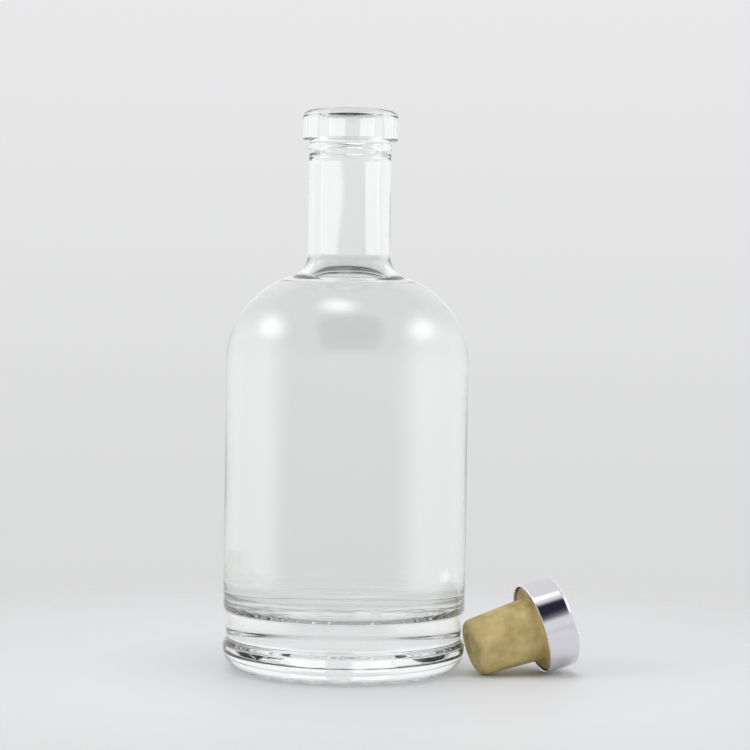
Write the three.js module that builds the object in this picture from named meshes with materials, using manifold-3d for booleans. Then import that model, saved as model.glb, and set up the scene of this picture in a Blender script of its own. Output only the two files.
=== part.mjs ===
// A round-shouldered spirit bottle in clear glass with a heavy, stepped base, the clear spirit
// in it, and its T-shaped stopper, taken out and lying on the table beside it.
// Millimetres, +Z up. The bottle and the stopper stand on z = 0, and the origin is the middle
// of the ground that they cover together.
import * as THREE from "three";
import { mergeVertices } from "three/addons/utils/BufferGeometryUtils.js";
import Module from "manifold-3d";

// Outside of the glass, from the ground up
const BODY_RADIUS = 41.5;
const PUSH_UP_HEIGHT = 3.0;
const BEARING_WIDTH = 2.6;
const HEEL_RADIUS = 7.4;
const FOOT_HEIGHT = 8.8; // up to where the wall leaves the foot for the band
const FLARE_HEIGHT = 2.6;
const BAND_HEIGHT = 9.0;
const BAND_LOW_DEPTH = 1.1;
const BAND_HIGH_DEPTH = 0.6;
const BODY_LIP_HEIGHT = 1.5; // the rounded lower edge of the body, over the band
const BODY_STRAIGHT = 83.4; // from that lip to where the shoulder begins
const SHOULDER_RADIUS = 30.6;
const NECK_RADIUS = 14.1;
const NECK_ROOT_RADIUS = 8.0;
const NECK_LENGTH = 45.3; // from the crown of the shoulder to the underside of the collar
const COLLAR_RADIUS = 16.3;
const COLLAR_HEIGHT = 10.4;
const COLLAR_EDGE_RADIUS = 3.1;
const COLLAR_UNDER_RADIUS = 0.6;

// Scallops pressed across the bearing ring, so that the hot bottle touches the belt lightly
const SCALLOP_COUNT = 24;
const SCALLOP_RADIUS = 5.0;
const SCALLOP_DEPTH = 1.3;

// Inside of the glass
const WALL = 3.1;
const SHOULDER_WALL = 2.4;
const FLOOR_THICKNESS = 20.6; // of solid glass over the bearing ring's plane
const FLOOR_CORNER_RADIUS = 6.0;
const NECK_BORE_RADIUS = 11.8;
const INNER_ROOT_RADIUS = 8.5;
const CORK_BORE_RADIUS = 10.9;
const CORK_BORE_LENGTH = 13.0;
const BORE_TAPER_LENGTH = 4.5;
const MOUTH_EDGE_RADIUS = 0.8;

// The spirit
const FILL_CLEARANCE = 0.3;
const ULLAGE = 3.8; // from the crown of the inner shoulder down to the surface

// Metal cap shell of the stopper
const CAP_RADIUS = 15.8;
const CAP_HEIGHT = 11.4;
const CAP_WALL = 0.9;
const CAP_EDGE_RADIUS = 1.6;
const CAP_LIP_RADIUS = 0.35;

// Cork of the stopper: a disc that fills the shell, and a tapered shank
const GLUE_GAP = 0.3;
const HEAD_RECESS = 0.7; // how far the disc's face sits inside the lip of the shell
const SHANK_LENGTH = 22.8;
const SHANK_ROOT_RADIUS = 10.95;
const SHANK_TIP_RADIUS = 9.9;
const SHANK_FILLET_RADIUS = 0.7;
const TIP_ROUND_LENGTH = 2.9;
const TIP_ROUND_WIDTH = 1.8;
const DIMPLE_RADIUS = 6.0;
const DIMPLE_DEPTH = 0.8;
const DIMPLE_SLOPE = 0.7;

// Where the stopper lies, seen from above: how far the middle of the shank's end is from the
// bottle's wall, on which bearing from the bottle's axis, and which way the cap points
const LIE_GAP = 3.45;
const LIE_BEARING = -12.9; // degrees from +X
const LIE_YAW = 15.2; // degrees from +X

// Fineness of the facets
const CHORD_ERROR = 0.12; // how far a facet may stray from a true arc
const FLARE_STEPS = 4;
const BOTTLE_SIDES = 64;
const SCALLOP_SIDES = 18;
const FILL_SIDES = 48;
const STOPPER_SIDES = 48;

const DEGREES = Math.PI / 180;
const UP = new THREE.Vector3(0, 0, 1);
const wasm = await Module();
wasm.setup();

// A point of a turned profile: its radius and its height.
function at(radius, height) {
  return new THREE.Vector2(radius, height);
}

// Points along an elliptical arc about (radius, height), between two angles in degrees from +r.
function ellipseArc(radius, height, width, rise, from, to) {
  const widest = 2 * Math.acos(1 - CHORD_ERROR / Math.max(width, rise, 2 * CHORD_ERROR));
  const steps = Math.max(2, Math.ceil((Math.abs(to - from) * DEGREES) / widest));
  return Array.from({ length: steps + 1 }, (_, i) => {
    const angle = (from + ((to - from) * i) / steps) * DEGREES;
    return at(radius + width * Math.cos(angle), height + rise * Math.sin(angle));
  });
}

// Points along a round arc.
function arc(radius, height, size, from, to) {
  return ellipseArc(radius, height, size, size, from, to);
}

// A body turned about Z from a profile that starts and ends on the axis, or closes on itself.
function turned(profile, sides) {
  return new THREE.LatheGeometry(profile, sides).rotateX(Math.PI / 2);
}

// A closed geometry as a solid that can be joined or cut.
function solidOf(geometry) {
  const bare = geometry.clone();
  bare.deleteAttribute("normal");
  bare.deleteAttribute("uv");
  const merged = mergeVertices(bare, 1e-4);
  return new wasm.Manifold(
    new wasm.Mesh({
      numProp: 3,
      vertProperties: new Float32Array(merged.attributes.position.array),
      triVerts: new Uint32Array(merged.index.array),
    }),
  );
}

// A solid back as a geometry.
function geometryOf(solid) {
  const mesh = solid.getMesh();
  const geometry = new THREE.BufferGeometry();
  geometry.setAttribute("position", new THREE.BufferAttribute(mesh.vertProperties, 3));
  geometry.setIndex(new THREE.BufferAttribute(mesh.triVerts, 1));
  geometry.computeVertexNormals();
  return geometry;
}

// How a round shoulder of a given size runs into a neck through a hollow fillet. Where the
// neck stands inside the shoulder's centre, a flat crown joins the two.
function neckRoot(centre, size, neck, fillet) {
  const across = Math.max(0, neck + fillet - centre.x);
  const reach = size + fillet;
  const angle = Math.acos(across / reach) / DEGREES;
  return { angle, radius: neck + fillet, height: centre.y + reach * Math.sin(angle * DEGREES) };
}

// Heights and centres that the outside, the inside and the spirit share
const BAND_START = FOOT_HEIGHT + FLARE_HEIGHT;
const BODY_START = BAND_START + BAND_HEIGHT + BODY_LIP_HEIGHT;
const SHOULDER_START = BODY_START + BODY_STRAIGHT;
const SHOULDER_CENTRE = at(BODY_RADIUS - SHOULDER_RADIUS, SHOULDER_START);
const COLLAR_START = SHOULDER_START + SHOULDER_RADIUS + NECK_LENGTH;
const MOUTH_HEIGHT = COLLAR_START + COLLAR_HEIGHT;
const CAVITY_RADIUS = BODY_RADIUS - WALL;
const INNER_SHOULDER_RADIUS = SHOULDER_RADIUS - SHOULDER_WALL;
const INNER_CENTRE = at(CAVITY_RADIUS - INNER_SHOULDER_RADIUS, SHOULDER_START);
const BEARING_OUTER = BODY_RADIUS - HEEL_RADIUS;
const BEARING_INNER = BEARING_OUTER - BEARING_WIDTH;

// The hollow under the base: a shallow dome from the axis out to the bearing ring.
function pushUp() {
  const size = (BEARING_INNER ** 2 + PUSH_UP_HEIGHT ** 2) / (2 * PUSH_UP_HEIGHT);
  const edge = Math.acos(BEARING_INNER / size) / DEGREES;
  return arc(0, PUSH_UP_HEIGHT - size, size, 90, edge);
}

// The wall's waist over the foot: a flare in from the foot, a shallow band that leans out a
// little as it rises, and the rounded lip of the body that overhangs it.
function band() {
  const low = BODY_RADIUS - BAND_LOW_DEPTH;
  const high = BODY_RADIUS - BAND_HIGH_DEPTH;
  const flare = Array.from({ length: FLARE_STEPS + 1 }, (_, i) => {
    const rise = i / FLARE_STEPS;
    const ease = (1 - Math.cos(Math.PI * rise)) / 2;
    return at(BODY_RADIUS - BAND_LOW_DEPTH * ease, FOOT_HEIGHT + FLARE_HEIGHT * rise);
  });
  return [
    ...flare,
    at(low, BAND_START + BAND_LOW_DEPTH / 2),
    ...ellipseArc(high, BODY_START, BAND_HIGH_DEPTH, BODY_LIP_HEIGHT, -90, 0),
  ];
}

// The collar that the stopper's lip meets, from its underside to the flat rim of the mouth.
function collar() {
  const top = MOUTH_HEIGHT - COLLAR_EDGE_RADIUS;
  const under = COLLAR_START + COLLAR_UNDER_RADIUS;
  return [
    at(NECK_RADIUS, COLLAR_START),
    ...arc(COLLAR_RADIUS - COLLAR_UNDER_RADIUS, under, COLLAR_UNDER_RADIUS, -90, 0),
    ...arc(COLLAR_RADIUS - COLLAR_EDGE_RADIUS, top, COLLAR_EDGE_RADIUS, 0, 90),
  ];
}

function outerProfile() {
  const root = neckRoot(SHOULDER_CENTRE, SHOULDER_RADIUS, NECK_RADIUS, NECK_ROOT_RADIUS);
  return [
    ...pushUp(),
    ...arc(BEARING_OUTER, HEEL_RADIUS, HEEL_RADIUS, -90, 0),
    ...band(),
    ...arc(SHOULDER_CENTRE.x, SHOULDER_CENTRE.y, SHOULDER_RADIUS, 0, root.angle),
    ...arc(root.radius, root.height, NECK_ROOT_RADIUS, 180 + root.angle, 180),
    ...collar(),
  ];
}

// The inside wall, from the mouth down to the middle of the floor.
function innerProfile() {
  const root = neckRoot(INNER_CENTRE, INNER_SHOULDER_RADIUS, NECK_BORE_RADIUS, INNER_ROOT_RADIUS);
  const seatEnd = MOUTH_HEIGHT - CORK_BORE_LENGTH;
  const mouth = CORK_BORE_RADIUS + MOUTH_EDGE_RADIUS;
  const corner = CAVITY_RADIUS - FLOOR_CORNER_RADIUS;
  return [
    ...arc(mouth, MOUTH_HEIGHT - MOUTH_EDGE_RADIUS, MOUTH_EDGE_RADIUS, 90, 180),
    at(CORK_BORE_RADIUS, seatEnd),
    at(NECK_BORE_RADIUS, seatEnd - BORE_TAPER_LENGTH),
    ...arc(root.radius, root.height, INNER_ROOT_RADIUS, 180, 180 + root.angle),
    ...arc(INNER_CENTRE.x, INNER_CENTRE.y, INNER_SHOULDER_RADIUS, root.angle, 0),
    ...arc(corner, FLOOR_THICKNESS + FLOOR_CORNER_RADIUS, FLOOR_CORNER_RADIUS, 0, -90),
    at(0, FLOOR_THICKNESS),
  ];
}

// One ring of scallops: round-bottomed channels that run outward across the bearing ring.
function scallops() {
  const reach = BODY_RADIUS - BEARING_INNER + 2 * HEEL_RADIUS;
  const middle = BEARING_INNER - HEEL_RADIUS + reach / 2;
  const tool = new THREE.CylinderGeometry(SCALLOP_RADIUS, SCALLOP_RADIUS, reach, SCALLOP_SIDES);
  tool.rotateZ(Math.PI / 2).translate(middle, 0, SCALLOP_DEPTH - SCALLOP_RADIUS);
  return Array.from({ length: SCALLOP_COUNT }, (_, i) =>
    solidOf(tool.clone().rotateZ((2 * Math.PI * (i + 0.5)) / SCALLOP_COUNT)),
  );
}

function makeGlass() {
  let glass = solidOf(turned([...outerProfile(), ...innerProfile()], BOTTLE_SIDES));
  for (const channel of scallops()) {
    glass = glass.subtract(channel);
  }
  return geometryOf(glass);
}

// The spirit follows the inside wall at its clearance, up to a level surface.
function makeSpirit() {
  const wall = CAVITY_RADIUS - FILL_CLEARANCE;
  const round = FLOOR_CORNER_RADIUS - FILL_CLEARANCE;
  const crown = INNER_SHOULDER_RADIUS - FILL_CLEARANCE;
  const level = INNER_SHOULDER_RADIUS - ULLAGE;
  const end = Math.asin(level / crown) / DEGREES;
  return turned(
    [
      at(0, FLOOR_THICKNESS + FILL_CLEARANCE),
      ...arc(wall - round, FLOOR_THICKNESS + FILL_CLEARANCE + round, round, -90, 0),
      ...arc(INNER_CENTRE.x, INNER_CENTRE.y, crown, 0, end),
      at(0, INNER_CENTRE.y + level),
    ],
    FILL_SIDES,
  );
}

// The stopper's own frame has the cork disc's lower face on z = 0 and the cap above it.
const LIP_HEIGHT = -HEAD_RECESS;
const CAP_TOP = CAP_HEIGHT - HEAD_RECESS;

function makeCap() {
  const inside = CAP_RADIUS - CAP_WALL;
  const lip = Math.min(CAP_LIP_RADIUS, CAP_WALL / 2);
  const lipMiddle = LIP_HEIGHT + lip;
  return turned(
    [
      at(0, CAP_TOP - CAP_WALL),
      at(inside, CAP_TOP - CAP_WALL),
      ...arc(inside + lip, lipMiddle, lip, 180, 270),
      ...arc(CAP_RADIUS - lip, lipMiddle, lip, 270, 360),
      ...arc(CAP_RADIUS - CAP_EDGE_RADIUS, CAP_TOP - CAP_EDGE_RADIUS, CAP_EDGE_RADIUS, 0, 90),
      at(0, CAP_TOP),
    ],
    STOPPER_SIDES,
  );
}

// The shank's outline from the middle of its end face up to the disc.
function shankProfile() {
  const end = -SHANK_LENGTH;
  const flat = SHANK_TIP_RADIUS - TIP_ROUND_WIDTH;
  const fillet = SHANK_FILLET_RADIUS;
  return [
    at(0, end + DIMPLE_DEPTH),
    at(DIMPLE_RADIUS - DIMPLE_SLOPE, end + DIMPLE_DEPTH),
    at(DIMPLE_RADIUS, end),
    ...ellipseArc(flat, end + TIP_ROUND_LENGTH, TIP_ROUND_WIDTH, TIP_ROUND_LENGTH, -90, 0),
    ...arc(SHANK_ROOT_RADIUS + fillet, -fillet, fillet, 180, 90),
  ];
}

function makeCork() {
  const disc = CAP_RADIUS - CAP_WALL - GLUE_GAP;
  const top = CAP_TOP - CAP_WALL - GLUE_GAP;
  return turned([...shankProfile(), at(disc, 0), at(disc, top), at(0, top)], STOPPER_SIDES);
}

// How far the stopper's axis tips when it lies on the cap's lip and on the shank: the least
// slope from the lip to any point of the shank.
function lyingTilt() {
  const slopes = shankProfile()
    .filter((point) => point.y < LIP_HEIGHT)
    .map((point) => (CAP_RADIUS - point.x) / (LIP_HEIGHT + CAP_LIP_RADIUS - point.y));
  return Math.atan(Math.min(...slopes));
}

// The stopper's pieces in a group that lies on the table, tipped onto the cap's lip and the
// shank, with the shank's end by the bottle.
function lyingStopper(meshes) {
  const tilt = lyingTilt();
  const lip = LIP_HEIGHT + CAP_LIP_RADIUS;
  const tipped = new THREE.Group();
  tipped.rotation.y = Math.PI / 2 - tilt;
  tipped.position.set(
    SHANK_LENGTH * Math.cos(tilt),
    0,
    CAP_RADIUS * Math.cos(tilt) - lip * Math.sin(tilt),
  );
  tipped.add(...meshes);
  const placed = new THREE.Group();
  placed.rotation.z = LIE_YAW * DEGREES;
  placed.position.set(BODY_RADIUS + LIE_GAP, 0, 0).applyAxisAngle(UP, LIE_BEARING * DEGREES);
  placed.add(tipped);
  return placed;
}

function named(name, geometry, look) {
  const mesh = new THREE.Mesh(geometry, new THREE.MeshStandardMaterial(look));
  mesh.name = name;
  return mesh;
}

const clearGlass = { color: 0xe9eeec, roughness: 0.03, transparent: true, opacity: 0.3 };
const clearSpirit = { color: 0xf3f5f2, roughness: 0.02, transparent: true, opacity: 0.2 };
const brightMetal = { color: 0xd2d2d8, roughness: 0.06, metalness: 1 };
const tanCork = { color: 0xc3ae78, roughness: 0.8 };

const bottle = new THREE.Group();
bottle.add(
  named("glass_bottle", makeGlass(), clearGlass),
  named("spirit_fill", makeSpirit(), clearSpirit),
);

const stopper = lyingStopper([
  named("stopper_cap_shell", makeCap(), brightMetal),
  named("stopper_cork", makeCork(), tanCork),
]);

const part = new THREE.Group();
part.add(bottle, stopper);

// The origin goes to the middle of the ground that the bottle and the stopper cover.
part.updateMatrixWorld(true);
const covered = new THREE.Box3().setFromObject(part, true).getCenter(new THREE.Vector3());
part.position.set(-covered.x, -covered.y, 0);

export default part;
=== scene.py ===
"""Studio picture of a clear spirit bottle with a heavy stepped base and its T-shaped stopper.

Every length of the object is in millimetres here, measured from the bottle's axis and from the
table, and becomes metres where a mesh is made. Each piece is a surface of revolution worked out
on a grid of angle by profile point, so that a change of a size carries through the whole piece.
"""

import logging
import math
from dataclasses import dataclass
from enum import Enum

import bpy
import numpy as np
from mathutils import Matrix, Vector

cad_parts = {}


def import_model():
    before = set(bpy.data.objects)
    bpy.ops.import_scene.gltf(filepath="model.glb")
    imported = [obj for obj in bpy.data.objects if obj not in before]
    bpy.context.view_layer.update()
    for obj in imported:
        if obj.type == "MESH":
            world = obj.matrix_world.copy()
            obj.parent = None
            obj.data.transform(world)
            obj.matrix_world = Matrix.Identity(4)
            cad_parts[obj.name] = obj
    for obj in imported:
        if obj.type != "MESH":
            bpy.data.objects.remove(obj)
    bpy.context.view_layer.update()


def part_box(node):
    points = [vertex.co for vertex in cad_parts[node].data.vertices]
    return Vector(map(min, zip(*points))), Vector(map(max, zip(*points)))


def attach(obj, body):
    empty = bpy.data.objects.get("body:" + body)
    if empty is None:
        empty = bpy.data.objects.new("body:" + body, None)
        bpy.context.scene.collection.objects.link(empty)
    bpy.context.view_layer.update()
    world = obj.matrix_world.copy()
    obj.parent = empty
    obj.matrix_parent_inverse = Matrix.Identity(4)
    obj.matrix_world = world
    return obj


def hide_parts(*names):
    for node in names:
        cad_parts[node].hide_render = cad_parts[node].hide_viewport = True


MM = 0.001
LOG = logging.getLogger("spirit_bottle")


class Slot(Enum):
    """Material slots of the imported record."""

    GLASS = "clear_glass"
    SPIRIT = "clear_spirit"
    CAP = "bright_cap"
    CORK = "tan_cork"


class Node(Enum):
    """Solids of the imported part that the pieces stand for."""

    GLASS = "glass_bottle"
    SPIRIT = "spirit_fill"
    CAP = "stopper_cap_shell"
    CORK = "stopper_cork"


def arc(centre: tuple[float, float], width: float, rise: float,
        start: float, end: float, steps: int) -> np.ndarray:
    """Points along an elliptical arc of a profile.

    Args:
        centre: Radius and height of the arc's centre.
        width: Half axis along the radius.
        rise: Half axis along the height.
        start: First angle in degrees, from the outward direction.
        end: Last angle in degrees.
        steps: Number of spans.

    Returns:
        Array of (steps + 1, 2) radii and heights.
    """
    angle = np.radians(np.linspace(start, end, steps + 1))
    return np.stack([centre[0] + width * np.cos(angle), centre[1] + rise * np.sin(angle)], 1)


def run(start: tuple[float, float], end: tuple[float, float], steps: int) -> np.ndarray:
    """Inner points of a straight run, closer together near its ends so shading stays flat.

    Args:
        start: Radius and height where the run begins.
        end: Radius and height where it ends.
        steps: Number of spans.

    Returns:
        Array of (steps - 1, 2) points, both ends left out.
    """
    share = np.linspace(0, 1, steps + 1)[1:-1]
    eased = (1 - np.cos(np.pi * share)) / 2
    return np.outer(1 - eased, start) + np.outer(eased, end)


def smooth_max(a: np.ndarray, b: np.ndarray, blend: float) -> np.ndarray:
    """The larger of two heights, rounded where they cross over a band of width blend."""
    share = np.clip(0.5 + 0.5 * (a - b) / blend, 0, 1)
    return b + (a - b) * share + blend * share * (1 - share)


@dataclass(frozen=True)
class Ripple:
    """The soft unevenness of a blown inside wall: a few slow waves round and up the bottle,
    which fade in above the inside floor, from calm_top on over calm_rise."""

    depth: float = 0.10
    calm_top: float = 32.0
    calm_rise: float = 20.0
    rounds: tuple[int, ...] = (2, 3, 5)
    rises: tuple[float, ...] = (0.09, 0.16, 0.05)
    phases: tuple[float, ...] = (0.7, 2.1, 4.4)

    def at(self, angle: np.ndarray, height: np.ndarray) -> np.ndarray:
        """Radius change: the mean of waves cos(rounds·angle + rises·height + phase) x depth."""
        waves = [np.cos(n * angle + k * height + p)
                 for n, k, p in zip(self.rounds, self.rises, self.phases)]
        grown = np.clip((height - self.calm_top) / self.calm_rise, 0, 1)
        return self.depth * grown * sum(waves) / len(waves)


@dataclass(frozen=True)
class Lathe:
    """Turns a profile about Z into a closed mesh with its own UV map."""

    sides: int = 180

    def grid(self, profile: np.ndarray) -> tuple[np.ndarray, np.ndarray, np.ndarray]:
        """Angle, radius and height at each node of the grid, profile point by angle."""
        angle = np.linspace(0, 2 * np.pi, self.sides, endpoint=False)
        theta, radius = np.meshgrid(angle, profile[:, 0])
        height = np.repeat(profile[:, 1:2], self.sides, axis=1)
        return theta, radius, height

    def mesh(self, name: str, grid: tuple[np.ndarray, np.ndarray, np.ndarray],
             place: np.ndarray) -> bpy.types.Object:
        """Builds the object from a grid whose first and last rows lie on the axis.

        Args:
            name: Name of the piece.
            grid: Angle, radius and height arrays, in millimetres.
            place: 4 by 4 matrix from the piece's frame to the row frame, in metres.

        Returns:
            The new object, smooth shaded, at the origin.
        """
        theta, radius, height = grid
        rows, sides = theta.shape
        points = np.stack([radius * np.cos(theta), radius * np.sin(theta), height], -1) * MM
        verts = np.concatenate([points[0, :1], points[1:-1].reshape(-1, 3), points[-1, :1]])
        column = np.arange(sides)
        after = (column + 1) % sides
        lower = 1 + np.arange(rows - 3)[:, None] * sides
        upper = lower + sides
        quads = np.stack([lower + column, lower + after, upper + after, upper + column], -1)
        rim = 1 + (rows - 3) * sides
        foot = np.stack([np.zeros(sides, int), 1 + after, 1 + column], 1)
        head = np.stack([np.full(sides, len(verts) - 1), rim + column, rim + after], 1)
        placed = verts @ place[:3, :3].T + place[:3, 3]
        loops = np.concatenate([quads.ravel(), foot.ravel(), head.ravel()])
        sizes = np.concatenate([np.full(quads[..., 0].size, 4), np.full(2 * sides, 3)])
        return fill_object(name, placed, loops, sizes, self.unwrap(rows, sides))

    def unwrap(self, rows: int, sides: int) -> np.ndarray:
        """UV of every face corner: u goes round the axis and v from the first row to the last.

        Args:
            rows: Number of profile points, both poles included.
            sides: Number of columns round the axis.

        Returns:
            Array of UVs for the quads, then the fan at the first pole, then the last pole's.
        """
        low = (1 + np.arange(rows - 3)) / (rows - 1)
        high = low + 1 / (rows - 1)
        u0 = np.arange(sides) / sides
        u1 = u0 + 1 / sides
        uv = np.empty((rows - 3, sides, 4, 2))
        uv[..., 0, 0] = uv[..., 3, 0] = u0
        uv[..., 1, 0] = uv[..., 2, 0] = u1
        uv[..., 0, 1] = uv[..., 1, 1] = low[:, None]
        uv[..., 2, 1] = uv[..., 3, 1] = high[:, None]
        middle = (u0 + u1) / 2
        first = np.full(sides, 1 / (rows - 1))
        foot = np.stack([middle, 0 * first, u1, first, u0, first], 1)
        head = np.stack([middle, 0 * first + 1, u0, 1 - first, u1, 1 - first], 1)
        return np.concatenate([part.reshape(-1, 2) for part in (uv, foot, head)])


def fill_object(name: str, verts: np.ndarray, loops: np.ndarray, sizes: np.ndarray,
                uvs: np.ndarray | None = None) -> bpy.types.Object:
    """Makes a mesh object from flat arrays.

    Args:
        name: Name of the object and of its mesh.
        verts: Vertex positions in metres.
        loops: Vertex index of every face corner, face after face.
        sizes: Number of corners of each face.
        uvs: UV of every face corner, or None.

    Returns:
        The object, linked to the scene and shaded smooth.
    """
    mesh = bpy.data.meshes.new(name)
    mesh.vertices.add(len(verts))
    mesh.vertices.foreach_set("co", verts.astype(np.float32).ravel())
    mesh.loops.add(len(loops))
    mesh.loops.foreach_set("vertex_index", loops.astype(np.int32))
    mesh.polygons.add(len(sizes))
    starts = np.concatenate([[0], np.cumsum(sizes)[:-1]])
    mesh.polygons.foreach_set("loop_start", starts.astype(np.int32))
    mesh.polygons.foreach_set("loop_total", sizes.astype(np.int32))
    mesh.polygons.foreach_set("use_smooth", np.ones(len(sizes), bool))
    if uvs is not None:
        layer = mesh.uv_layers.new(name="surface")
        layer.data.foreach_set("uv", uvs.astype(np.float32).ravel())
    mesh.update(calc_edges=True)
    mesh.validate()
    made = bpy.data.objects.new(name, mesh)
    bpy.context.scene.collection.objects.link(made)
    LOG.info("%s: %d vertices, %d faces", name, len(verts), len(sizes))
    return made


class Shader:
    """A small hand for building one material's node tree."""

    def __init__(self, name: str) -> None:
        self.material = bpy.data.materials.new(name)
        self.material.use_nodes = True
        self.nodes = self.material.node_tree.nodes
        self.links = self.material.node_tree.links
        self.nodes.clear()
        self.output = self.nodes.new("ShaderNodeOutputMaterial")

    def node(self, kind: str, inputs: dict[str | int, object] | None = None,
             **settings: object) -> bpy.types.Node:
        """Adds a node, sets its properties, and sets or links its inputs by name or index."""
        made = self.nodes.new("ShaderNode" + kind)
        for key, value in settings.items():
            setattr(made, key, value)
        for key, value in (inputs or {}).items():
            socket = made.inputs[key]
            if isinstance(value, bpy.types.NodeSocket):
                self.links.new(value, socket)
            else:
                socket.default_value = value
        return made

    def math(self, operation: str, *values: object) -> bpy.types.NodeSocket:
        """A math node's result; each value is a number or a socket."""
        return self.node("Math", dict(enumerate(values)), operation=operation).outputs[0]

    def noise(self, coords: bpy.types.NodeSocket, scale: float, detail: float = 3.0,
              roughness: float = 0.55) -> bpy.types.NodeSocket:
        """Value of a 3-D noise at the given coordinates."""
        inputs = {"Vector": coords, "Scale": scale, "Detail": detail, "Roughness": roughness}
        return self.node("TexNoise", inputs).outputs["Fac"]

    def span(self, value: bpy.types.NodeSocket, low: float, high: float,
             to_low: float, to_high: float) -> bpy.types.NodeSocket:
        """Maps a range of a value onto another range, clamped."""
        inputs = {"Value": value, "From Min": low, "From Max": high,
                  "To Min": to_low, "To Max": to_high}
        return self.node("MapRange", inputs).outputs[0]

    def ramp(self, value: bpy.types.NodeSocket,
             stops: list[tuple[float, tuple[float, float, float]]]) -> bpy.types.NodeSocket:
        """Colour ramp through the given places and colours."""
        made = self.node("ValToRGB", {"Fac": value})
        elements = made.color_ramp.elements
        while len(elements) < len(stops):
            elements.new(0.5)
        for element, (place, colour) in zip(elements, stops):
            element.position = place
            element.color = (*colour, 1.0)
        return made.outputs["Color"]

    def bump(self, height: bpy.types.NodeSocket, distance: float, strength: float,
             under: bpy.types.NodeSocket | None = None) -> bpy.types.NodeSocket:
        """Bump from a height value, over another bump if one is given."""
        inputs = {"Height": height, "Distance": distance, "Strength": strength}
        if under is not None:
            inputs["Normal"] = under
        return self.node("Bump", inputs).outputs["Normal"]

    def close(self, surface: bpy.types.NodeSocket) -> bpy.types.Material:
        """Links the surface to the output and returns the finished material."""
        self.links.new(surface, self.output.inputs["Surface"])
        return self.material


@dataclass(frozen=True)
class ClearFinish:
    """A clear, smooth, refracting finish that lets lamps through to what is behind it.

    Its slow waves fade in over calm, a span of heights in metres, so that the thick base
    stays plain. Its scuffs are specks of roughness under scuff_top, in millimetres."""

    name: str
    ior: float
    tint: tuple[float, float, float]
    shade: tuple[float, float, float]
    wave: float
    wave_scale: float
    calm: tuple[float, float] = (0.028, 0.060)
    scuff: float = 0.0
    scuff_top: float = 2.0
    speck_scale: float = 900.0

    def build(self) -> bpy.types.Material:
        """Roughness is close to nil and rises in specks near the ground; slow waves bend it."""
        s = Shader(self.name)
        coords = s.node("TexCoord").outputs["Object"]
        height = s.node("SeparateXYZ", {0: coords}).outputs["Z"]
        specks = s.noise(coords, self.speck_scale, 4.0)
        low = s.span(height, 0.0, self.scuff_top * MM, self.scuff, 0.0)
        roughness = s.math("MULTIPLY", low, s.span(specks, 0.42, 0.62, 0.2, 1.0))
        grown = s.span(height, *self.calm, 0.0, 1.0)
        slow = s.math("MULTIPLY", s.noise(coords, self.wave_scale, 0.6), grown)
        normal = s.bump(slow, self.wave, 1.0)
        clear = s.node("BsdfPrincipled", {
            "Base Color": (*self.tint, 1.0), "IOR": self.ior, "Transmission Weight": 1.0,
            "Roughness": roughness, "Normal": normal})
        through = s.node("BsdfTransparent", {"Color": (*self.shade, 1.0)})
        lamp = s.node("LightPath").outputs["Is Shadow Ray"]
        mixed = s.node("MixShader", {0: lamp, 1: clear.outputs[0], 2: through.outputs[0]})
        return s.close(mixed.outputs[0])


@dataclass(frozen=True)
class MirrorFinish:
    """Bright plated metal with faint turning marks round its axis and a few soft smudges."""

    name: str
    colour: tuple[float, float, float]
    roughness: float
    marks: float
    mark_length: float = 6.0
    mark_count: float = 420.0
    smudge_scale: float = 90.0

    def build(self) -> bpy.types.Material:
        """Turning marks follow the UV map's length, and smudges are slow noise in roughness."""
        s = Shader(self.name)
        texture = s.node("TexCoord")
        coords = texture.outputs["Object"]
        uv = s.node("SeparateXYZ", {0: texture.outputs["UV"]})
        stretched = s.node("CombineXYZ", {
            0: s.math("MULTIPLY", uv.outputs[0], self.mark_length),
            1: s.math("MULTIPLY", uv.outputs[1], self.mark_count)})
        rings = s.noise(stretched.outputs[0], 1.0, 2.0)
        smudge = s.noise(coords, self.smudge_scale, 4.0)
        soft = s.span(smudge, 0.45, 0.7, 0.0, 1.0)
        roughness = s.math("ADD", s.math("MULTIPLY", soft, self.roughness), self.roughness)
        normal = s.bump(rings, self.marks * MM, 1.0)
        metal = s.node("BsdfPrincipled", {
            "Base Color": (*self.colour, 1.0), "Metallic": 1.0,
            "Roughness": roughness, "Normal": normal})
        return s.close(metal.outputs[0])


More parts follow.
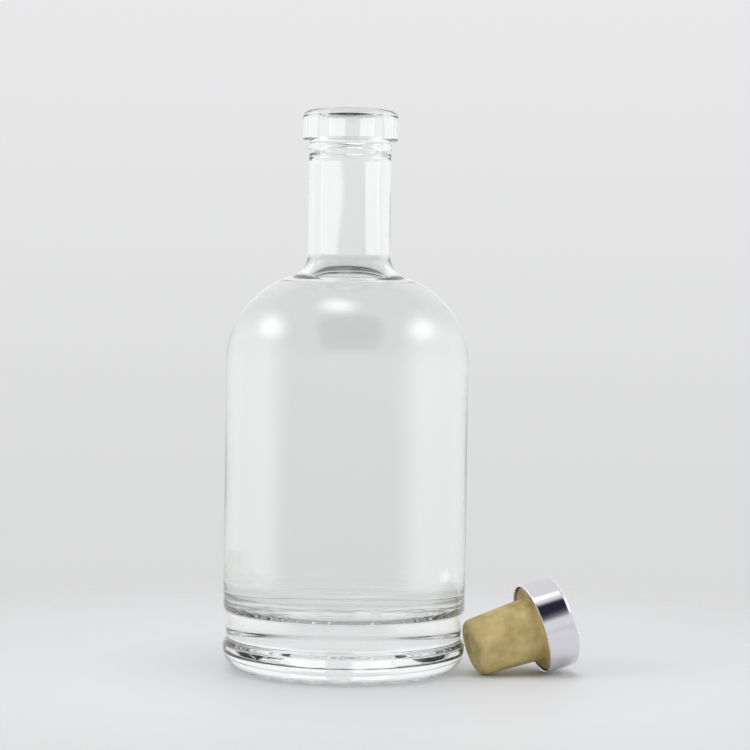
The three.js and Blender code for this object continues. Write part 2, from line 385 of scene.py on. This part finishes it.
@dataclass(frozen=True)
class FoamFinish:
    """Tan foamed cork: clouded colour, darker flecks, a dry skin with fine pits."""

    name: str
    dark: tuple[float, float, float]
    middle: tuple[float, float, float]
    light: tuple[float, float, float]
    cloud_scale: float = 160.0
    fleck_scale: float = 300.0
    pit_scale: float = 2400.0
    pit_depth: float = 0.05

    def build(self) -> bpy.types.Material:
        """Colour is a ramp over clouds, darkened by flecks; pits and clouds bump the skin."""
        s = Shader(self.name)
        coords = s.node("TexCoord").outputs["Object"]
        cloud = s.noise(coords, self.cloud_scale, 5.0, 0.6)
        colour = s.ramp(cloud, [(0.3, self.dark), (0.5, self.middle), (0.68, self.light)])
        cells = s.node("TexVoronoi", {"Vector": coords, "Scale": self.fleck_scale})
        fleck = s.span(cells.outputs["Distance"], 0.05, 0.5, 0.88, 1.0)
        tinted = s.node("MixRGB", {0: 1.0, 1: colour, 2: fleck}, blend_type="MULTIPLY")
        pits = s.noise(coords, self.pit_scale, 3.0, 0.7)
        roughness = s.span(pits, 0.3, 0.7, 0.55, 0.8)
        skin = s.bump(cells.outputs["Distance"], self.pit_depth * MM, 0.5)
        normal = s.bump(pits, self.pit_depth * MM, 0.8, skin)
        foam = s.node("BsdfPrincipled", {
            "Base Color": tinted.outputs[0], "Roughness": roughness, "Normal": normal,
            "Subsurface Weight": 0.12, "Subsurface Scale": 0.0015,
            "Subsurface Radius": (1.0, 0.7, 0.4)})
        return s.close(foam.outputs[0])


@dataclass(frozen=True)
class Bottle:
    """The glass: its outside, its inside, the scallops across the bearing ring, and the
    hollows that run up the flank of the push-up and over the heel from each scallop."""

    body: float = 41.5
    push_up: float = 3.0
    push_up_flat: float = 15.0
    push_up_fall: float = 0.35
    push_up_rows: int = 34
    flute_depth: float = 1.3
    flute_lead: float = 3.0
    heel_flute: float = 0.2
    heel_flute_share: float = 0.85
    flute_even: float = 0.6
    bearing: float = 2.6
    heel: float = 7.4
    foot: float = 8.8
    flare: float = 2.6
    band_height: float = 9.0
    band_low: float = 1.1
    band_high: float = 0.6
    lip: float = 1.5
    straight: float = 83.4
    shoulder: float = 30.6
    neck: float = 14.1
    neck_root: float = 8.0
    neck_length: float = 45.3
    collar: float = 16.3
    collar_height: float = 10.4
    collar_edge: float = 4.1
    collar_rise: float = 2.2
    collar_under: float = 0.6
    scallops: int = 24
    scallop_radius: float = 5.0
    scallop_depth: float = 1.3
    scallop_round: float = 0.5
    wall: float = 3.1
    shoulder_wall: float = 2.4
    floor: float = 20.6
    floor_corner: float = 6.0
    bore: float = 11.8
    inner_root: float = 8.5
    cork_bore: float = 10.9
    cork_bore_length: float = 13.0
    taper: float = 4.5
    mouth_edge: float = 0.8
    rim_rows: int = 14
    lathe: Lathe = Lathe(240)
    ripple: Ripple = Ripple()

    @property
    def shoulder_start(self) -> float:
        """Height where the straight wall ends and the shoulder begins."""
        return self.foot + self.flare + self.band_height + self.lip + self.straight

    @property
    def collar_start(self) -> float:
        """Height of the collar's underside."""
        return self.shoulder_start + self.shoulder + self.neck_length

    @property
    def mouth(self) -> float:
        """Height of the rim."""
        return self.collar_start + self.collar_height

    @property
    def cavity(self) -> float:
        """Radius of the inside wall."""
        return self.body - self.wall

    @property
    def inner_shoulder(self) -> float:
        """Radius of the inside shoulder's arc."""
        return self.shoulder - self.shoulder_wall

    def root(self, centre: float, size: float, neck: float, fillet: float) -> tuple[float, ...]:
        """Where a round shoulder runs into a neck through a hollow fillet.

        Args:
            centre: Radius of the shoulder arc's centre, which is at the shoulder's start.
            size: Radius of the shoulder arc.
            neck: Radius of the neck.
            fillet: Radius of the fillet.

        Returns:
            The shoulder's end angle in degrees, and the fillet centre's radius and height.
        """
        reach = size + fillet
        angle = math.acos((neck + fillet - centre) / reach)
        return (math.degrees(angle), neck + fillet,
                self.shoulder_start + reach * math.sin(angle))

    def under(self) -> np.ndarray:
        """The shallow dome under the base and the flat ring it stands on."""
        inner = self.body - self.heel - self.bearing
        share = np.linspace(0, 1, self.push_up_rows)
        radius = inner * np.sin(share * np.pi / 2)
        fall = np.clip((radius - self.push_up_flat) / (inner - self.push_up_flat), 0, 1)
        ease = fall ** 2 * (3 - 2 * fall)
        crown = 1 - self.push_up_fall * (radius / inner) ** 2 - (1 - self.push_up_fall) * ease
        dome = np.stack([radius, self.push_up * crown], 1)
        return np.concatenate([dome, run((inner, 0.0), (self.body - self.heel, 0.0), 8)])

    def hollows(self, theta: np.ndarray) -> np.ndarray:
        """Depth share of the hollows between sharp ridges, one per scallop: the size of
        sin(scallops x angle / 2), uneven from one to the next as pressed glass is."""
        wave = np.abs(np.sin(self.scallops * theta / 2))
        uneven = np.sin(3 * theta + 0.7) * np.sin(7 * theta + 1.9)
        return wave * (self.flute_even + (1 - self.flute_even) * uneven)

    def fluted(self, theta: np.ndarray, radius: np.ndarray, height: np.ndarray) -> np.ndarray:
        """Heights of the dome after its flank is hollowed, faded in and out along the flank."""
        start = self.push_up_flat - self.flute_lead
        inner = self.body - self.heel - self.bearing
        along = np.clip((radius - start) / (inner - start), 0, 1)
        return height + self.flute_depth * self.hollows(theta) * np.sin(np.pi * along) ** 2

    def heeled(self, theta: np.ndarray, radius: np.ndarray, height: np.ndarray) -> np.ndarray:
        """Heights of the heel after the shallow hollows across it."""
        start = self.body - self.heel
        along = np.clip((radius - start) / (self.heel_flute_share * self.heel), 0, 1)
        return height + self.heel_flute * self.hollows(theta) * np.sin(np.pi * along) ** 2

    def band(self) -> np.ndarray:
        """Flare, leaning band and the rounded lip of the body over it."""
        rise = np.linspace(0, 1, 15)
        ease = (1 - np.cos(np.pi * rise)) / 2
        flare = np.stack([self.body - self.band_low * ease, self.foot + self.flare * rise], 1)
        low = self.body - self.band_low
        high = self.body - self.band_high
        start = self.foot + self.flare
        top = start + self.band_height
        leaning = run((low, start + self.band_low / 2), (high, top), 12)
        edge = arc((high, top + self.lip), self.band_high, self.lip, -90.0, 0.0, 12)
        return np.concatenate([flare, [(low, start + self.band_low / 2)], leaning, edge])

    def outer(self) -> np.ndarray:
        """The outside from the middle of the base up to the rim."""
        crown = self.body - self.shoulder
        angle, radius, height = self.root(crown, self.shoulder, self.neck, self.neck_root)
        top = self.mouth - self.collar_rise
        below = self.collar_start
        under = self.collar_under
        body_low = self.shoulder_start - self.straight
        return np.concatenate([
            self.under(),
            arc((self.body - self.heel, self.heel), self.heel, self.heel, -90.0, 0.0, 26),
            self.band(),
            run((self.body, body_low), (self.body, self.shoulder_start), 10),
            arc((crown, self.shoulder_start), self.shoulder, self.shoulder, 0.0, angle, 40),
            arc((radius, height), self.neck_root, self.neck_root, 180.0 + angle, 180.0, 14)[1:],
            run((self.neck, height), (self.neck, below), 9),
            [(self.neck, below)],
            arc((self.collar - under, below + under), under, under, -90.0, 0.0, 6),
            run((self.collar, below + under), (self.collar, top), 7),
            arc((self.collar - self.collar_edge, top), self.collar_edge, self.collar_rise,
                0.0, 90.0, 16),
        ])

    def inner(self) -> np.ndarray:
        """The inside from the rim down to the middle of the floor."""
        crown = self.cavity - self.inner_shoulder
        angle, radius, height = self.root(crown, self.inner_shoulder, self.bore, self.inner_root)
        mouth = self.cork_bore + self.mouth_edge
        seat = self.mouth - self.cork_bore_length
        corner = self.cavity - self.floor_corner
        bend = self.floor + self.floor_corner
        rim = (self.collar - self.collar_edge, self.mouth)
        return np.concatenate([
            run(rim, (mouth, self.mouth), 4),
            arc((mouth, self.mouth - self.mouth_edge), self.mouth_edge, self.mouth_edge,
                90.0, 180.0, 8),
            run((self.cork_bore, self.mouth - self.mouth_edge), (self.cork_bore, seat), 7),
            self.bore_taper(seat),
            run((self.bore, seat - self.taper), (self.bore, height), 9),
            arc((radius, height), self.inner_root, self.inner_root, 180.0, 180.0 + angle, 12),
            arc((crown, self.shoulder_start), self.inner_shoulder, self.inner_shoulder,
                angle, 0.0, 34)[1:],
            run((self.cavity, self.shoulder_start), (self.cavity, bend), 12),
            arc((corner, bend), self.floor_corner, self.floor_corner, 0.0, -90.0, 60),
            run((corner, self.floor), (0.0, self.floor), 10),
            [(0.0, self.floor)],
        ])

    def bore_taper(self, seat: float) -> np.ndarray:
        """The soft step from the cork's bore out to the neck's bore."""
        share = np.linspace(0, 1, 11)
        ease = (1 - np.cos(np.pi * share)) / 2
        radius = self.cork_bore + (self.bore - self.cork_bore) * ease
        return np.stack([radius, seat - self.taper * share], 1)

    def pressed(self, theta: np.ndarray, radius: np.ndarray, height: np.ndarray) -> np.ndarray:
        """Heights after the scallops: round-bottomed channels of the given radius, whose axes
        run outward below the ground and rise to the scallop's depth. The channel's height over
        a point is its radius squared less the sideways distance squared, rooted, and the
        glass takes the larger of the two heights."""
        pitch = 2 * np.pi / self.scallops
        near = theta % pitch - pitch / 2
        side = np.clip(np.abs(radius * np.sin(near)), 0, self.scallop_radius)
        sunk = self.scallop_depth - self.scallop_radius
        channel = sunk + np.sqrt(self.scallop_radius ** 2 - side ** 2)
        beyond = self.body - 2 * self.heel - self.bearing
        fade = np.clip((radius - beyond) / self.heel, 0, 1)
        cut = np.where(fade > 0, channel * fade - (1 - fade), -1.0)
        return smooth_max(height, cut, self.scallop_round)

    def build(self, place: np.ndarray) -> bpy.types.Object:
        """Makes the glass as one closed surface."""
        outer, inner = self.outer(), self.inner()
        theta, radius, height = self.lathe.grid(np.concatenate([outer, inner]))
        row = np.arange(len(theta))[:, None]
        outside = row < len(outer)
        inside = row >= len(outer) + self.rim_rows
        height = np.where(row < self.push_up_rows, self.fluted(theta, radius, height), height)
        low = outside & (height < self.heel)
        height = np.where(low, self.heeled(theta, radius, height), height)
        low = outside & (height < 2 * self.scallop_depth)
        pressed = np.maximum(self.pressed(theta, radius, height), 0.0)
        height = np.where(low, pressed, height)
        waved = radius + self.ripple.at(theta, height)
        radius = np.where(inside & (radius > 1.0), waved, radius)
        return self.lathe.mesh("bottle_glass", (theta, radius, height), place)


@dataclass(frozen=True)
class Spirit:
    """The liquid, which wets the inside wall and climbs it a little at the surface."""

    bottle: Bottle
    wetting: float = 0.3
    ullage: float = 3.8
    climb: float = 1.6
    climb_width: float = 2.0
    lathe: Lathe = Lathe(240)

    @property
    def level(self) -> float:
        """Height of the middle of the surface."""
        b = self.bottle
        return b.shoulder_start + b.inner_shoulder - self.ullage

    def profile(self) -> np.ndarray:
        """From the middle of the floor, out and up the wall, and in over the surface. The
        surface rises by climb times exp(-distance from the wall / climb_width)."""
        b, more = self.bottle, self.wetting
        crown = b.cavity - b.inner_shoulder
        size = b.inner_shoulder + more
        corner = b.floor_corner + more
        bend = b.floor + b.floor_corner
        top = self.level + self.climb
        end = math.degrees(math.asin((top - b.shoulder_start) / size))
        edge = crown + size * math.cos(math.radians(end))
        inward = edge * (1 - np.linspace(0, 1, 40)[1:] ** 1.8)
        surface = self.level + self.climb * np.exp((inward - edge) / self.climb_width)
        return np.concatenate([
            [(0.0, b.floor - more)],
            run((0.0, b.floor - more), (b.cavity - b.floor_corner, b.floor - more), 8),
            arc((b.cavity - b.floor_corner, bend), corner, corner, -90.0, 0.0, 60),
            run((b.cavity + more, bend), (b.cavity + more, b.shoulder_start), 10),
            arc((crown, b.shoulder_start), size, size, 0.0, end, 30),
            np.stack([inward, surface], 1),
        ])

    def build(self, place: np.ndarray) -> bpy.types.Object:
        """Makes the liquid as one closed surface."""
        grid = self.lathe.grid(self.profile())
        return self.lathe.mesh("spirit_body", grid, place)


@dataclass(frozen=True)
class Stopper:
    """Cap shell and cork in the stopper's own frame, whose z = 0 is the disc's lower face."""

    cap: float = 15.8
    cap_height: float = 11.4
    cap_wall: float = 0.9
    cap_edge: float = 1.6
    cap_lip: float = 0.35
    cap_corner: float = 0.5
    disc_edge: float = 0.4
    glue: float = 0.3
    recess: float = 0.7
    shank: float = 22.8
    shank_root: float = 10.95
    shank_tip: float = 9.9
    shank_fillet: float = 0.7
    tip_length: float = 2.9
    tip_width: float = 1.8
    dimple: float = 6.0
    dimple_depth: float = 0.8
    dimple_slope: float = 0.7
    lie_gap: float = 3.45
    lie_bearing: float = -12.9
    lie_yaw: float = 15.2
    lathe: Lathe = Lathe(192)

    @property
    def top(self) -> float:
        """Height of the cap's flat top."""
        return self.cap_height - self.recess

    def cap_profile(self) -> np.ndarray:
        """The shell from the middle of its inner face, round the lip, to the middle on top."""
        inside = self.cap - self.cap_wall
        lip = self.cap_lip
        middle = lip - self.recess
        ceiling = self.top - self.cap_wall
        corner = self.cap_corner
        flat = self.cap - self.cap_edge
        return np.concatenate([
            [(0.0, ceiling)],
            run((0.0, ceiling), (inside - corner, ceiling), 6),
            arc((inside - corner, ceiling - corner), corner, corner, 90.0, 0.0, 5),
            run((inside, ceiling - corner), (inside, middle), 6),
            arc((inside + lip, middle), lip, lip, 180.0, 270.0, 6),
            arc((self.cap - lip, middle), lip, lip, 270.0, 360.0, 6),
            run((self.cap, middle), (self.cap, self.top - self.cap_edge), 12),
            arc((flat, self.top - self.cap_edge), self.cap_edge, self.cap_edge, 0.0, 90.0, 14),
            run((flat, self.top), (0.0, self.top), 12),
            [(0.0, self.top)],
        ])

    def shank_profile(self) -> np.ndarray:
        """From the middle of the dimpled end face up to the disc."""
        end = -self.shank
        flat = self.shank_tip - self.tip_width
        fillet = self.shank_fillet
        slope = np.linspace(0, 1, 7)
        ease = (1 - np.cos(np.pi * slope)) / 2
        dish = np.stack([self.dimple - self.dimple_slope * (1 - slope),
                         end + self.dimple_depth * (1 - ease)], 1)
        return np.concatenate([
            [(0.0, end + self.dimple_depth)],
            run((0.0, end + self.dimple_depth), tuple(dish[0]), 6),
            dish,
            run((self.dimple, end), (flat, end), 5),
            arc((flat, end + self.tip_length), self.tip_width, self.tip_length, -90.0, 0.0, 12),
            run((self.shank_tip, end + self.tip_length), (self.shank_root, -fillet), 20),
            arc((self.shank_root + fillet, -fillet), fillet, fillet, 180.0, 90.0, 6),
        ])

    def cork_profile(self) -> np.ndarray:
        """The shank and the disc that fills the cap."""
        disc = self.cap - self.cap_wall - self.glue
        inner = self.shank_root + self.shank_fillet
        ceiling = self.top - self.cap_wall - self.glue
        edge = self.disc_edge
        return np.concatenate([
            self.shank_profile(),
            run((inner, 0.0), (disc - edge, 0.0), 5),
            arc((disc - edge, edge), edge, edge, -90.0, 0.0, 5),
            run((disc, edge), (disc, ceiling - edge), 6),
            arc((disc - edge, ceiling - edge), edge, edge, 0.0, 90.0, 5),
            run((disc - edge, ceiling), (0.0, ceiling), 6),
            [(0.0, ceiling)],
        ])

    def tilt(self) -> float:
        """How far the axis tips when the stopper lies on its cap's lip and its shank: the
        least slope from the lip to any point of the shank, in radians."""
        profile = self.shank_profile()
        lower = profile[profile[:, 1] < -self.recess]
        slopes = (self.cap - lower[:, 0]) / (self.cap_lip - self.recess - lower[:, 1])
        return math.atan(float(slopes.min()))

    def place(self, bottle: Bottle, axis: Vector) -> np.ndarray:
        """Matrix from the stopper's frame to the row frame, lying on the table."""
        tilt = self.tilt()
        lip = self.cap_lip - self.recess
        lift = self.cap * math.cos(tilt) - lip * math.sin(tilt)
        tipped = Matrix.Translation(Vector((self.shank * math.cos(tilt), 0, lift)) * MM)
        tipped = tipped @ Matrix.Rotation(math.pi / 2 - tilt, 4, "Y")
        bearing = math.radians(self.lie_bearing)
        reach = (bottle.body + self.lie_gap) * MM
        foot = Vector((reach * math.cos(bearing), reach * math.sin(bearing), 0)) + axis
        turned = Matrix.Translation(foot) @ Matrix.Rotation(math.radians(self.lie_yaw), 4, "Z")
        return np.array(turned @ tipped)


@dataclass(frozen=True)
class Lamp:
    """A soft rectangular lamp for the diffuse light, which no mirror or glass shows."""

    name: str
    place: tuple[float, float, float]
    width: float
    height: float
    watts: float
    aim: tuple[float, float, float] = (0.0, 0.0, 0.05)

    def build(self, axis: Vector) -> bpy.types.Object:
        """Makes the lamp, turned towards its aim."""
        data = bpy.data.lights.new(self.name, "AREA")
        data.shape = "RECTANGLE"
        data.size, data.size_y = self.width, self.height
        data.energy = self.watts
        lamp = bpy.data.objects.new(self.name, data)
        bpy.context.scene.collection.objects.link(lamp)
        lamp.location = Vector(self.place) + axis
        lamp.rotation_mode = "QUATERNION"
        lamp.rotation_quaternion = (Vector(self.aim) - Vector(self.place)).to_track_quat("-Z", "Y")
        lamp.visible_camera = False
        lamp.visible_glossy = False
        lamp.visible_transmission = False
        return lamp


@dataclass(frozen=True)
class Card:
    """A sheet that only mirrors and glass show: it adds a soft-edged glow, or holds light off."""

    name: str
    place: tuple[float, float, float]
    width: float
    height: float
    glow: float
    edge: float = 0.3
    aim: tuple[float, float, float] = (0.0, 0.0, 0.1)
    colour: tuple[float, float, float] = (1.0, 1.0, 1.0)

    def build(self, axis: Vector) -> bpy.types.Object:
        """Makes the sheet. Its glow rises smoothly from each side over edge, a share of its
        width and height; a sheet with no glow holds light off with the same soft edge."""
        turn = (Vector(self.aim) - Vector(self.place)).to_track_quat("Z", "Y").to_matrix()
        corner = np.array([(-1, -1), (1, -1), (1, 1), (-1, 1)]) / 2
        flat = np.concatenate([corner * (self.width, self.height), np.zeros((4, 1))], 1)
        verts = flat @ np.array(turn).T + np.array(Vector(self.place) + axis)
        made = fill_object(self.name, verts, np.arange(4), np.array([4]), corner + 0.5)
        s = Shader(self.name)
        uv = s.node("SeparateXYZ", {0: s.node("TexCoord").outputs["UV"]})
        share = None
        for side in (uv.outputs[0], uv.outputs[1]):
            middle = s.math("SUBTRACT", 0.5, s.math("ABSOLUTE", s.math("SUBTRACT", side, 0.5)))
            rise = s.node("MapRange", {"Value": middle, "From Max": self.edge},
                          interpolation_type="SMOOTHSTEP").outputs[0]
            share = rise if share is None else s.math("MULTIPLY", share, rise)
        clear = s.node("BsdfTransparent")
        if self.glow > 0:
            light = s.node("Emission", {"Color": (*self.colour, 1.0),
                                        "Strength": s.math("MULTIPLY", share, self.glow)})
            surface = s.node("AddShader", {0: clear.outputs[0], 1: light.outputs[0]})
        else:
            held = s.node("BsdfTransparent", {"Color": (*self.colour, 1.0)})
            surface = s.node("MixShader", {0: share, 1: clear.outputs[0], 2: held.outputs[0]})
        made.data.materials.append(s.close(surface.outputs[0]))
        made.visible_camera = False
        made.visible_diffuse = False
        made.visible_shadow = False
        return made


@dataclass(frozen=True)
class Studio:
    """Pale floor, pale surroundings, soft lamps, cards and the camera."""

    floor_radius: float = 0.42
    floor_rings: int = 24
    floor_sides: int = 96
    floor_drop: float = 0.00005
    fade_start: float = 0.11
    fade_end: float = 0.26
    floor_colour: tuple[float, float, float] = (0.74, 0.745, 0.75)
    low_colour: tuple[float, float, float] = (0.700, 0.703, 0.708)
    high_colour: tuple[float, float, float] = (0.815, 0.815, 0.825)
    horizon: float = 0.16
    ambient: float = 0.74
    lens: float = 109.1
    camera: tuple[float, float, float] = (9.5, -779.5, 127.1)
    pitch: float = 1.904
    roll: float = 0.83
    lamps: tuple[Lamp, ...] = (
        Lamp("key_lamp", (-0.75, -0.30, 0.60), 0.5, 0.5, 2.6),
        Lamp("fill_lamp", (0.80, -0.25, 0.55), 0.5, 0.5, 1.8),
        Lamp("top_lamp", (0.0, -0.10, 1.10), 0.6, 0.6, 3.0),
    )
    cards: tuple[Card, ...] = (
        Card("left_glow", (-0.85, 0.04, 0.64), 1.00, 0.56, 2.3, 0.5),
        Card("right_glow", (0.85, 0.01, 0.64), 1.00, 0.56, 2.1, 0.5),
        Card("top_glow", (-0.10, -0.16, 0.95), 0.60, 0.50, 2.8, 0.5, aim=(0.0, 0.0, 0.12)),
        Card("rear_left_glow", (-0.67, 0.85, 0.35), 1.25, 1.6, 0.16, 0.2),
        Card("rear_right_glow", (0.69, 0.85, 0.35), 1.25, 1.6, 0.16, 0.2),
        Card("neck_left_glow", (-0.139, 0.86, 0.215), 0.202, 0.23, 0.20, 0.10),
        Card("neck_right_glow", (0.156, 0.86, 0.215), 0.204, 0.23, 0.20, 0.10),
        Card("overhead_flag", (0.05, -0.80, 0.82), 1.40, 1.20, 0.0, 0.25,
             colour=(0.03, 0.03, 0.055)),
    )

    def world(self) -> None:
        """Pale surroundings, a little lighter upward. Camera, glossy and transmission rays see
        them at a strength of one, and diffuse light has the ambient strength."""
        world = bpy.data.worlds.new("studio")
        bpy.context.scene.world = world
        world.use_nodes = True
        nodes, links = world.node_tree.nodes, world.node_tree.links
        nodes.clear()
        output = nodes.new("ShaderNodeOutputWorld")
        split = nodes.new("ShaderNodeSeparateXYZ")
        links.new(nodes.new("ShaderNodeNewGeometry").outputs["Incoming"], split.inputs[0])
        height = nodes.new("ShaderNodeMapRange")
        height.interpolation_type = "SMOOTHSTEP"
        height.inputs["From Min"].default_value = self.horizon
        height.inputs["From Max"].default_value = -self.horizon
        links.new(split.outputs["Z"], height.inputs["Value"])
        colour = nodes.new("ShaderNodeMixRGB")
        colour.inputs[1].default_value = (*self.low_colour, 1.0)
        colour.inputs[2].default_value = (*self.high_colour, 1.0)
        links.new(height.outputs[0], colour.inputs[0])
        seen = nodes.new("ShaderNodeBackground")
        seen.inputs["Strength"].default_value = 1.0
        links.new(colour.outputs[0], seen.inputs["Color"])
        light = nodes.new("ShaderNodeBackground")
        light.inputs["Color"].default_value = (*self.high_colour, 1.0)
        light.inputs["Strength"].default_value = self.ambient
        path = nodes.new("ShaderNodeLightPath")
        mix = nodes.new("ShaderNodeMixShader")
        share = path.outputs["Is Camera Ray"]
        for kind in ("Is Glossy Ray", "Is Transmission Ray"):
            either = nodes.new("ShaderNodeMath")
            either.operation = "MAXIMUM"
            links.new(share, either.inputs[0])
            links.new(path.outputs[kind], either.inputs[1])
            share = either.outputs[0]
        links.new(share, mix.inputs[0])
        links.new(light.outputs[0], mix.inputs[1])
        links.new(seen.outputs[0], mix.inputs[2])
        links.new(mix.outputs[0], output.inputs["Surface"])

    def floor(self, axis: Vector) -> bpy.types.Object:
        """A round pale floor that fades into the surroundings before its edge."""
        count, sides = self.floor_rings, self.floor_sides
        rings = np.linspace(0, 1, count + 1)[1:] * self.floor_radius
        angle = np.linspace(0, 2 * np.pi, sides, endpoint=False)
        theta, radius = np.meshgrid(angle, rings)
        around = np.stack([axis.x + radius * np.cos(theta), radius * np.sin(theta),
                           np.full_like(theta, -self.floor_drop)], -1).reshape(-1, 3)
        verts = np.concatenate([[(axis.x, 0.0, -self.floor_drop)], around])
        column = np.arange(sides)
        after = (column + 1) % sides
        row = 1 + np.arange(count - 1)[:, None] * sides
        beyond = row + sides
        quads = np.stack([row + column, beyond + column, beyond + after, row + after], -1)
        fan = np.stack([np.zeros(sides, int), 1 + column, 1 + after], 1)
        loops = np.concatenate([quads.ravel(), fan.ravel()])
        sizes = np.concatenate([np.full((count - 1) * sides, 4), np.full(sides, 3)])
        made = fill_object("studio_floor", verts, loops, sizes)
        s = Shader("studio_floor")
        coords = s.node("TexCoord").outputs["Object"]
        distance = s.node("VectorMath", {0: coords}, operation="LENGTH").outputs["Value"]
        gone = s.span(distance, self.fade_start, self.fade_end, 0.0, 1.0)
        pale = s.node("BsdfPrincipled", {"Base Color": (*self.floor_colour, 1.0),
                                         "Roughness": 0.55, "Specular IOR Level": 0.3})
        clear = s.node("BsdfTransparent")
        mixed = s.node("MixShader", {0: gone, 1: pale.outputs[0], 2: clear.outputs[0]})
        made.data.materials.append(s.close(mixed.outputs[0]))
        return made

    def view(self, axis: Vector) -> None:
        """Sets the camera level with the spirit's surface, tipped down a little and rolled."""
        data = bpy.data.cameras.new("photo")
        data.lens, data.sensor_width = self.lens, 36.0
        data.clip_start, data.clip_end = 0.01, 20.0
        camera = bpy.data.objects.new("photo", data)
        bpy.context.scene.collection.objects.link(camera)
        turn = Matrix.Rotation(math.radians(90 - self.pitch), 4, "X")
        turn = turn @ Matrix.Rotation(math.radians(self.roll), 4, "Z")
        camera.matrix_world = Matrix.Translation(Vector(self.camera) * MM + axis) @ turn
        bpy.context.scene.camera = camera

    def build(self, axis: Vector) -> None:
        """Lays out the whole stage."""
        self.world()
        self.floor(axis)
        for piece in self.lamps + self.cards:
            piece.build(axis)
        self.view(axis)
        bpy.context.scene.view_settings.view_transform = "Standard"


def dress(piece: bpy.types.Object, material: bpy.types.Material, node: Node) -> None:
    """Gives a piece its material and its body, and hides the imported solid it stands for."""
    piece.data.materials.append(material)
    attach(piece, "root")
    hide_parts(node.value)
    LOG.info("%s stands for %s in %s", piece.name, node.value, material.name)


def main() -> None:
    """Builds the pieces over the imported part, then the studio."""
    logging.basicConfig(level=logging.INFO, format="%(name)s: %(message)s")
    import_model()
    low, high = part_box(Node.GLASS.value)
    axis = Vector(((low.x + high.x) / 2, (low.y + high.y) / 2, 0.0))
    upright = np.array(Matrix.Translation(axis))
    bottle = Bottle()
    stopper = Stopper()
    lying = stopper.place(bottle, axis)

    glass = ClearFinish("clear_glass", 1.52, (0.975, 0.985, 0.98), (0.90, 0.92, 0.92),
                        0.00004, 24.0, scuff=0.12)
    liquid = ClearFinish("clear_spirit", 1.36, (0.985, 0.992, 0.986), (0.97, 0.97, 0.97),
                         0.0, 10.0)
    metal = MirrorFinish("bright_cap", (0.80, 0.79, 0.83), 0.035, 0.004)
    foam = FoamFinish("tan_cork", (0.44, 0.32, 0.115), (0.57, 0.44, 0.185), (0.67, 0.54, 0.255))

    dress(bottle.build(upright), glass.build(), Node.GLASS)
    dress(Spirit(bottle).build(upright), liquid.build(), Node.SPIRIT)
    cap = stopper.lathe.mesh("cap_shell", stopper.lathe.grid(stopper.cap_profile()), lying)
    dress(cap, metal.build(), Node.CAP)
    cork = stopper.lathe.mesh("cork_body", stopper.lathe.grid(stopper.cork_profile()), lying)
    dress(cork, foam.build(), Node.CORK)

    Studio().build(axis)


if __name__ == "__main__":
    main()
